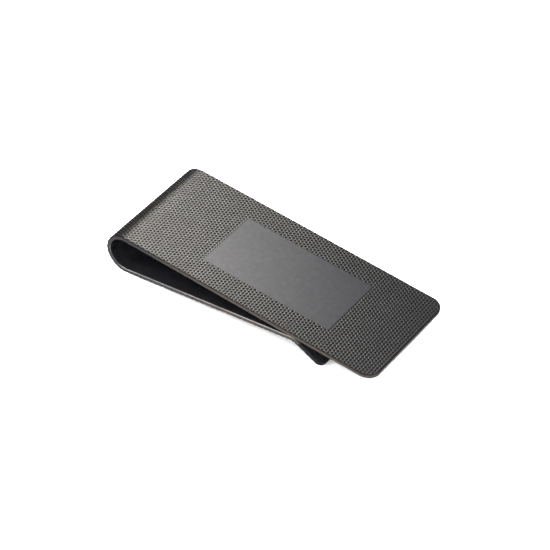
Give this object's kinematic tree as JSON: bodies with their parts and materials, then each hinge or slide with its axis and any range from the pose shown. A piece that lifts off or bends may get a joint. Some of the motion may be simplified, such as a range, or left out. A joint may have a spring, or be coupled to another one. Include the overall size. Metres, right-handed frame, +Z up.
{
  "type": "money clip",
  "caption": "One-piece sprung sheet money clip: flat front leaf with a dimpled face and a plain engraving panel, round bend, and a back leaf with a grip crest and flared lip.",
  "frame": {"origin": "centre of the base of the box that the clip fills as it lies on a table, on its bend and the tip of its lip", "axes": "+X along the strip towards the open end, +Y across the strip, +Z up out of the front leaf"},
  "size_m": [0.0546, 0.0222, 0.0077],
  "materials": {
    "patterned_sheet": "gunmetal plated, with a fine hexagonal array of pressed dimples on the outer face and a plain dark inner face",
    "satin_panel": "plain satin gunmetal"
  },
  "bodies": {
    "back_leaf": {"back_leaf": "patterned_sheet", "bend_back_half": "patterned_sheet", "grip_crest": "patterned_sheet", "entry_lip": "patterned_sheet"},
    "front_leaf": {"front_leaf": "patterned_sheet", "engraving_panel": "satin_panel", "bend_front_half": "patterned_sheet"}
  },
  "joints": [
    {"name": "spring_open", "type": "hinge", "parent": "back_leaf", "child": "front_leaf", "pos_m": [-0.02726, 0, 0.00387], "axis": [0, -1, 0], "range_deg": [0, 8], "stiffness_Nm_per_rad": 6}
  ]
}
